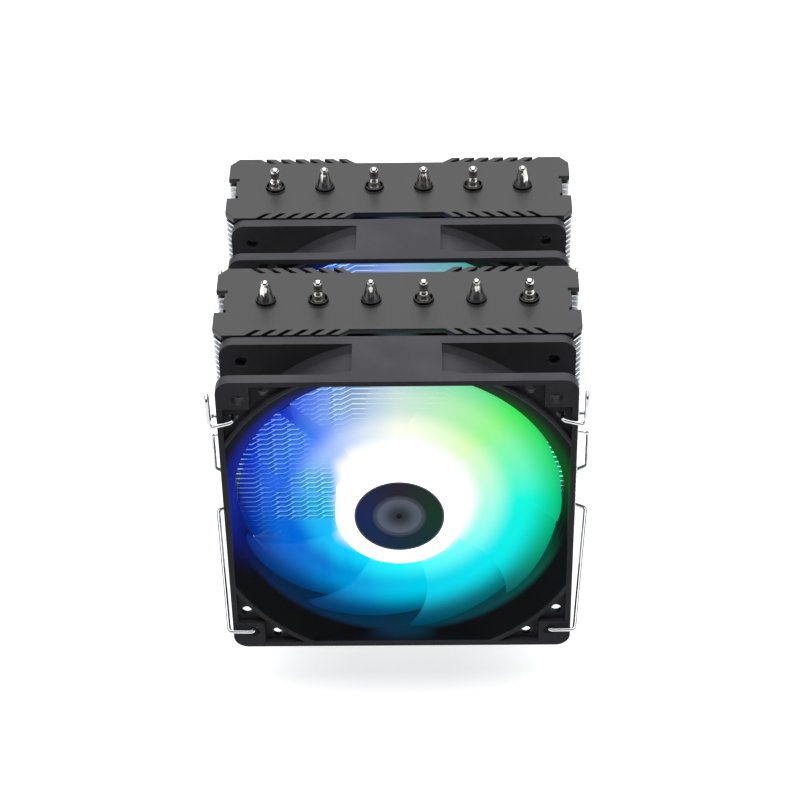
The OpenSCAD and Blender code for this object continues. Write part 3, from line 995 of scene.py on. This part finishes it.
def piece(
    name: str,
    bm: BMesh,
    body: str,
    material: Material,
    nodes: list[str] | None = None,
    sharp: float = 38.0,
    weigh: bool = False,
) -> bpy.types.Object:
    """Turns a shape into a piece that rides on a body.

    Args:
        name: the piece's name.
        bm: its shape, in metres and in place.
        body: the body it moves with.
        material: its finish.
        nodes: the nodes it stands for.
        sharp: edges turned by more than this many degrees stay crisp.
        weigh: gives large flat faces the say over the shading.

    Returns:
        The piece.
    """
    mesh = bpy.data.meshes.new(name)
    bm.to_mesh(mesh)
    bm.free()
    mesh.shade_smooth()
    mesh.set_sharp_from_angle(angle=math.radians(sharp))
    mesh.materials.append(material)
    obj = show(name, mesh)
    if weigh:
        weights = obj.modifiers.new("weights", "WEIGHTED_NORMAL")
        weights.keep_sharp = True
    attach(obj, body)
    if nodes:
        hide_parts(*nodes)
    LOG.info("%s: %d faces on %s", name, len(mesh.polygons), body)
    return obj


def dress(node: str, material: Material) -> None:
    """Gives a finish to a node that keeps its own shape.

    Args:
        node: the node's name.
        material: its finish.
    """
    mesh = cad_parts[node].data
    mesh.materials.clear()
    mesh.materials.append(material)
    LOG.info("%s: dressed", node)


# ---------- Heat sink ----------


@dataclass
class HeatPipe:
    """One of the six pipes, from its front tip down through the base and up to its rear tip."""

    number: int
    top_pitch: float = 18.0
    base_pitch: float = 6.6
    radius: float = 3.0
    stack_y: float = 35.0
    base_z: float = 6.5
    corner_y: float = 30.4
    corner_z: float = 44.0
    tip_z: float = 155.0
    nose: float = 8.3
    dome: float = 1.45
    bead: float = 1.6
    taper: float = 1.25
    taper_steps: int = 9
    bends: tuple[float, ...] = (14.0, 12.0, 12.0, 14.0)
    bend_steps: int = 14
    sides: int = 40

    def cap(self, radius: float) -> list[Pair]:
        """Draws the round end of a tip.

        Args:
            radius: the end's radius.

        Returns:
            Radius and height of its points, from the widest to the top.
        """
        middle = self.nose - radius
        turns = [math.radians(a) for a in (15, 30, 45, 60, 75, 86)]
        return [(radius * math.cos(a), middle + radius * math.sin(a)) for a in turns]

    def bullet(self) -> list[Pair]:
        """Radius and height of the pointed tip."""
        middle = self.nose - self.dome
        spread = self.radius - self.dome
        steps = [i / self.taper_steps for i in range(self.taper_steps + 1)]
        return [(self.dome + spread * (1 - s**self.taper), middle * s) for s in steps] + self.cap(self.dome)

    def nipple(self) -> list[Pair]:
        """Radius and height of the crimped tip: a shoulder, a waist and a bead."""
        shoulder = [(self.radius, 0.0), (2.7, 0.3), (2.4, 0.8), (2.2, 1.6), (2.05, 2.5), (1.85, 3.3)]
        waist = [(1.55, 3.8), (1.4, 4.2), (1.42, 4.6), (1.53, 5.0), (1.6, 5.4)]
        return shoulder + waist + [(self.bead, self.nose - self.bead)] + self.cap(self.bead)

    def build(self, palette: Palette) -> None:
        """Makes the pipe.

        Args:
            palette: the finishes.
        """
        side = -1 if self.number <= 3 else 1
        rank = 3 - self.number if self.number <= 3 else self.number - 4
        x_top = side * (rank + 0.5) * self.top_pitch
        x_base = side * (rank + 0.5) * self.base_pitch
        rim = self.tip_z - self.nose
        profiles = (self.bullet(), self.nipple()) if self.number % 2 else (self.nipple(), self.bullet())
        y, low, corner = self.stack_y, self.base_z, self.corner_y
        route = [(x_top, -y, rim), (x_top, -y, self.corner_z), (x_base, -corner, low)]
        route += [(x_base, corner, low), (x_top, y, self.corner_z), (x_top, y, rim)]
        middle = rounded(route, list(self.bends), self.bend_steps)
        front = [(Vector((x_top, -y, rim + h)), r) for r, h in reversed(profiles[0])]
        rear = [(Vector((x_top, y, rim + h)), r) for r, h in profiles[1]]
        points = [p for p, _ in front] + middle[1:-1] + [p for p, _ in rear]
        radii = [r for _, r in front] + [self.radius] * (len(middle) - 2) + [r for _, r in rear]
        bm = sweep(points, radii, self.sides)
        millimetres(bm)
        stands_for = [f"heat_pipe_{self.number}"]
        piece(f"pipe_{self.number}_tube", bm, "heatsink", palette.nickel, stands_for, 60)


@dataclass
class Tower:
    """One stack of fins with its cover."""

    name: str
    strength: float
    bevel: float = 0.3

    def build(self, palette: Palette) -> None:
        """Dresses the fins and makes the cover.

        Args:
            palette: the finishes.
        """
        fins, cover = f"{self.name}_fins", f"{self.name}_cover"
        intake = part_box(fins)[0].y / MM
        dress(fins, FinFinish(f"{self.name}_fin_aluminium", intake, self.strength).build())
        bm = from_node(cover, self.bevel)
        piece(f"{cover}_plate", bm, "heatsink", palette.cover, [cover], weigh=True)


@dataclass
class Base:
    """The block on the processor, with its mounting bar and screws."""

    bevel: float = 0.3
    screw_bevel: float = 0.12

    def build(self, palette: Palette) -> None:
        """Makes the base's pieces.

        Args:
            palette: the finishes.
        """
        for node, name, material, slot, width in (
            ("cold_plate", "contact_plate", palette.copper_plate, "nickel", self.bevel),
            ("pipe_block", "pipe_clamp_block", palette.block, "raw_aluminium", self.bevel),
            ("mounting_bar", "pressed_bar", palette.black_steel, "black_steel", self.bevel),
            ("bar_screws", "bar_fixing_screws", palette.steel, "steel", self.screw_bevel),
        ):
            piece(name, from_node(node, width), "heatsink", material, [node], weigh=True)


@dataclass
class SpringScrew:
    """A captive screw with its spring and retaining ring, on one end of the mounting bar."""

    side: str
    spacing: float = 82.0
    bar_top: float = 14.0
    head_z: float = 20.5
    travel: float = 2.0
    wire: float = 0.45
    coil: float = 3.1
    turns: int = 4
    gap: float = 0.05
    closed_end: float = 0.12
    coil_steps: int = 28
    thread_r: float = 1.78
    thread_low: float = 2.0
    thread_pitch: float = 0.7
    thread_turns: int = 10
    thread_steps: int = 20
    ridge: float = 0.22

    @property
    def x(self) -> float:
        """Where the screw stands."""
        return self.spacing / 2 * (-1 if self.side == "left" else 1)

    def thread(self) -> BMesh:
        """The thread's ridge, wound round the lower shank."""
        points = []
        for i in range(self.thread_steps * self.thread_turns):
            a = 2 * math.pi * i / self.thread_steps
            rise = self.thread_low + self.thread_pitch * a / (2 * math.pi)
            points.append(Vector((self.thread_r * math.cos(a), self.thread_r * math.sin(a), rise)))
        return sweep(points, [self.ridge] * len(points), 4)

    def spring(self) -> BMesh:
        """The spring, with one flat turn at each end."""
        low = self.bar_top + self.wire + self.gap
        high = self.head_z - self.wire - self.gap
        count = self.coil_steps * (self.turns + 1)
        points = []
        for i in range(count + 1):
            t = i / count
            rise = min(max((t - self.closed_end) / (1 - 2 * self.closed_end), 0.0), 1.0)
            a = 2 * math.pi * (self.turns + 1) * t
            x, y = self.coil * math.cos(a), self.coil * math.sin(a)
            points.append(Vector((x, y, low + (high - low) * rise)))
        return sweep(points, [self.wire] * len(points), 12)

    def build(self, palette: Palette) -> None:
        """Makes the screw, its thread, its spring and its ring.

        Args:
            palette: the finishes.
        """
        side, body = self.side, f"{self.side}_screw"
        place = Matrix.Translation((self.x * MM, 0, 0))
        screw = from_node(f"{side}_spring_screw", 0.15)
        thread = self.thread()
        millimetres(thread, place)
        spring = self.spring()
        millimetres(spring, place)
        ring = from_node(f"{side}_retaining_ring", 0.1)
        steel, wire, dark = palette.steel, palette.wire, palette.dark_steel
        piece(f"{side}_screw_body", screw, body, steel, [f"{side}_spring_screw"], weigh=True)
        piece(f"{side}_screw_thread", thread, body, steel)
        coil = piece(f"{side}_spring_coil", spring, "heatsink", wire, [f"{side}_spring"], 60)
        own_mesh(coil)
        stands_for = [f"{side}_retaining_ring"]
        piece(f"{side}_ring_clip", ring, f"{side}_ring", dark, stands_for, weigh=True)


# ---------- Fans ----------


@dataclass
class Fan:
    """A lit fan: its frame, its rotor with the blades, and the motor inside the hub."""

    name: str
    dim: float
    depth: float = 25.0
    hub_r: float = 22.0
    tip_r: float = 56.0
    blades: int = 9
    chord_root: float = 68.0
    chord_tip: float = 58.0
    blade_mid: float = 13.0
    blade_rise: float = 13.2
    sweep_angle: float = 18.0
    camber: float = 0.84
    flatten: float = 0.1
    tip_round: float = 0.03
    root_depth: float = 0.5
    thickness: float = 1.0
    cap_top: float = 23.45
    frame_bevel: float = 0.35
    steps: int = 128

    @property
    def front_y(self) -> float:
        """Where the fan's front face is, in millimetres."""
        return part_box(f"{self.name}_fan_frame")[0].y / MM

    @property
    def place(self) -> Matrix:
        """Turns the fan's own axes, with Z out of its front, into the shared frame."""
        rear = (self.front_y + self.depth) * MM
        return Matrix.Translation((0, rear, FAN_CENTRE_Z * MM)) @ Matrix.Rotation(math.pi / 2, 4, "X")

    def hub(self) -> BMesh:
        """The hollow hub, with a seat for its cap and a boss for the shaft."""
        seat = [(0, 22.9), (15.55, 22.9), (15.55, 23.5)]
        skirt = [(21.2, 23.5), (21.75, 23.25), (self.hub_r, 22.7), (self.hub_r, 5.0), (21.05, 5.0)]
        boss = [(21.05, 21.85), (4.0, 21.85), (4.0, 17.4), (1.55, 17.4), (1.55, 21.85), (0, 21.85)]
        return lathe(seat + skirt + boss, self.steps)

    def blade(self, bm: BMesh, number: int) -> None:
        """Adds one swept and cambered blade.

        Args:
            bm: the shape that the blade joins.
            number: which blade it is, counted round the hub.
        """
        made = bmesh.ops.create_grid(bm, x_segments=18, y_segments=16, size=0.5)["verts"]
        start = 360 / self.blades * number
        root = self.hub_r - self.root_depth
        for vert in made:
            s, t = vert.co.x + 0.5, vert.co.y
            chord = self.chord_root + (self.chord_tip - self.chord_root) * s
            radius = root + (self.tip_r - root) * s * (1 - self.tip_round * (2 * abs(t)) ** 8)
            angle = math.radians(start - chord * t - self.sweep_angle * s * s)
            rise = self.blade_rise * t * (1 - self.flatten * s)
            height = self.blade_mid + rise + self.camber * (1 - 4 * t * t)
            vert.co = Vector((radius * math.cos(angle), radius * math.sin(angle), height))

    def impeller(self) -> BMesh:
        """All of the blades."""
        bm = bmesh.new()
        for number in range(self.blades):
            self.blade(bm, number)
        bmesh.ops.recalc_face_normals(bm, faces=bm.faces)
        bmesh.ops.solidify(bm, geom=list(bm.faces), thickness=self.thickness)
        bmesh.ops.recalc_face_normals(bm, faces=bm.faces)
        return bm

    def cap(self) -> BMesh:
        """The disc on the hub, dished in the middle and with a raised lip."""
        under = [(0, 0.5), (15.3, 0.5), (15.5, 0.35), (15.5, 0.1), (15.4, 0)]
        face = [(14.95, 0), (14.8, 0.12), (9.75, 0.12), (9.2, 0.2), (7.7, 0.24)]
        dimple = [(1.3, 0.24), (1.1, 0.4), (0, 0.42)]
        return lathe([(r, self.cap_top - drop) for r, drop in under + face + dimple], self.steps)

    def build(self, palette: Palette) -> None:
        """Makes the frame, the rotor and the motor.

        Args:
            palette: the finishes.
        """
        name, rotor, frame_node = self.name, f"{self.name}_rotor", f"{self.name}_fan_frame"
        shell = from_node(frame_node, self.frame_bevel)
        black = FrameFinish(f"{name}_black_frame", self.front_y).build()
        piece(f"{name}_frame_shell", shell, f"{name}_fan", black, [frame_node], weigh=True)
        milky = BladeFinish(f"{name}_milky_blades", self.front_y, dim=self.dim).build()
        for part, bm, material, slot, node, sharp in (
            ("hub_shell", self.hub(), palette.hub, "blade_milky", "impeller", 38),
            ("blade_ring", self.impeller(), milky, "blade_milky", None, 50),
            ("cap_disc", self.cap(), palette.cap, "cap_grey", "hub_cap", 38),
        ):
            millimetres(bm, self.place)
            stands_for = [f"{name}_{node}"] if node else None
            piece(f"{name}_{part}", bm, rotor, material, stands_for, sharp)
        for part, material in (
            ("yoke", palette.dark_steel),
            ("magnet_ring", palette.magnet),
            ("shaft", palette.steel),
            ("bearing", palette.bronze),
            ("stator", palette.laminate),
            ("windings", palette.windings),
            ("circuit_board", palette.board),
            ("lamps", palette.lamp),
            ("shaft_clip", palette.dark_steel),
            ("hub_plate", palette.plate),
        ):
            dress(f"{name}_{part}", material)


@dataclass
class FanClip:
    """A wire clip that hooks into one side of a fan's frame and snaps into the fins' notch."""

    fan: str
    side: str
    wire: float = 0.7
    bend: float = 1.3
    inner_x: float = -60.4
    outer_x: float = -67.0
    snap_y: float = 44.8

    def corners(self) -> list[Triple]:
        """The left clip's corners, from the middle of the fan's front face."""
        inner, outer, y = self.inner_x, self.outer_x, self.snap_y
        hook = [(-54.8, 2.4, 44.6), (-54.8, -1.1, 44.2), (-62.6, -1.1, 42.0)]
        tab = [(-62.6, -1.9, 54.0), (-62.7, 0.1, 55.0), (-62.8, 1.5, 53.6), (-62.8, 2.6, 42.4)]
        snap = [(outer - 0.4, y, 10.2), (inner, y, 9.8), (inner, y, 2.6), (outer, y, 1.4), (outer, y, -14.0)]
        snap += [(inner, y, -17.5), (inner, y, -31.2), (outer - 0.3, y, -34.2)]
        foot = [(-61.4, -1.1, -51.4), (-52.5, -1.1, -51.6), (-52.5, 2.4, -51.9)]
        return hook + tab + snap + foot

    def build(self, palette: Palette) -> None:
        """Makes the clip.

        Args:
            palette: the finishes.
        """
        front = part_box(f"{self.fan}_fan_frame")[0].y / MM
        flip = 1 if self.side == "left" else -1
        corners = [(flip * x, y + front, z + FAN_CENTRE_Z) for x, y, z in self.corners()]
        points = rounded(corners, [self.bend] * (len(corners) - 2), 6)
        bm = sweep(points, [self.wire] * len(points), 16)
        millimetres(bm)
        label = f"{self.fan}_{self.side}"
        piece(f"{label}_clip_wire", bm, f"{label}_wire", palette.wire, [f"{label}_clip"], 60)


# ---------- Studio ----------


@dataclass
class Studio:
    """The camera, the floor and the soft lights."""

    camera_at: Triple = (0.01288, -0.69914, 0.62934)
    right: Triple = (0.99986, 0.00676, -0.01558)
    up: Triple = (0.00801, 0.62131, 0.78352)
    lens: float = 108.0
    sensor: float = 36.0
    clip: Pair = (0.01, 50.0)
    floor_size: float = 40.0
    room_light: float = 0.06

    def camera(self) -> None:
        """Sets the camera in front of the cooler, looking down on it."""
        data = bpy.data.cameras.new("camera")
        data.lens = self.lens
        data.sensor_width = self.sensor
        data.clip_start, data.clip_end = self.clip
        right, up = Vector(self.right).normalized(), Vector(self.up).normalized()
        back = right.cross(up).normalized()
        up = back.cross(right)
        turn = Matrix((right, up, back)).transposed().to_4x4()
        bpy.context.scene.camera = show("camera", data, Matrix.Translation(self.camera_at) @ turn)

    def softbox(self, name: str, at: tuple, aim: tuple, size: tuple, power: float) -> None:
        """Hangs a soft rectangular light.

        Args:
            name: the light's name.
            at: where it hangs.
            aim: the point it faces.
            size: width and height.
            power: watts.
        """
        data = bpy.data.lights.new(name, "AREA")
        data.shape = "RECTANGLE"
        data.size, data.size_y = size
        data.energy = power
        turn = (Vector(aim) - Vector(at)).to_track_quat("-Z", "Y").to_matrix().to_4x4()
        show(name, data, Matrix.Translation(at) @ turn)

    def floor(self) -> None:
        """Lays a pale matte floor."""
        bm = bmesh.new()
        bmesh.ops.create_grid(bm, x_segments=1, y_segments=1, size=self.floor_size / 2)
        mesh = bpy.data.meshes.new("studio_floor")
        bm.to_mesh(mesh)
        bm.free()
        mesh.materials.append(FloorFinish().build())
        obj = show("studio_floor", mesh)
        obj.visible_diffuse = False

    def world(self) -> None:
        """Fills the room with dim even light."""
        world = bpy.data.worlds.new("studio")
        bpy.context.scene.world = world
        world.use_nodes = True
        background = world.node_tree.nodes["Background"]
        background.inputs["Color"].default_value = WHITE
        background.inputs["Strength"].default_value = self.room_light

    def build(self) -> None:
        """Sets the whole studio."""
        bpy.context.scene.view_settings.view_transform = "Standard"
        self.camera()
        self.floor()
        self.world()
        middle, low = (0.0, 0.0, 0.1), (0.0, 0.0, 0.15)
        self.softbox("softbox_top", (0.0, 0.1, 1.6), middle, (2.4, 2.0), 41.0)
        self.softbox("softbox_back", (0.0, 1.5, 1.25), middle, (2.4, 1.1), 18.0)
        self.softbox("panel_left", (-1.15, -0.35, 0.42), low, (1.2, 0.8), 2.0)
        self.softbox("panel_right", (1.15, -0.35, 0.42), low, (1.2, 0.8), 2.0)


def main() -> None:
    """Builds the studio and every sub-assembly, in order."""
    logging.basicConfig(level=logging.INFO, format="%(name)s: %(message)s")
    Studio().build()
    palette = Palette()
    assemblies = [HeatPipe(number) for number in range(1, 7)]
    assemblies += [Tower("front", strength=2.0), Tower("rear", strength=2.6), Base()]
    assemblies += [SpringScrew("left"), SpringScrew("right"), Fan("front", dim=1.0), Fan("middle", dim=0.6)]
    assemblies += [FanClip(fan, side) for fan in ("front", "middle") for side in ("left", "right")]
    for assembly in assemblies:
        assembly.build(palette)


if __name__ == "__main__":
    main()
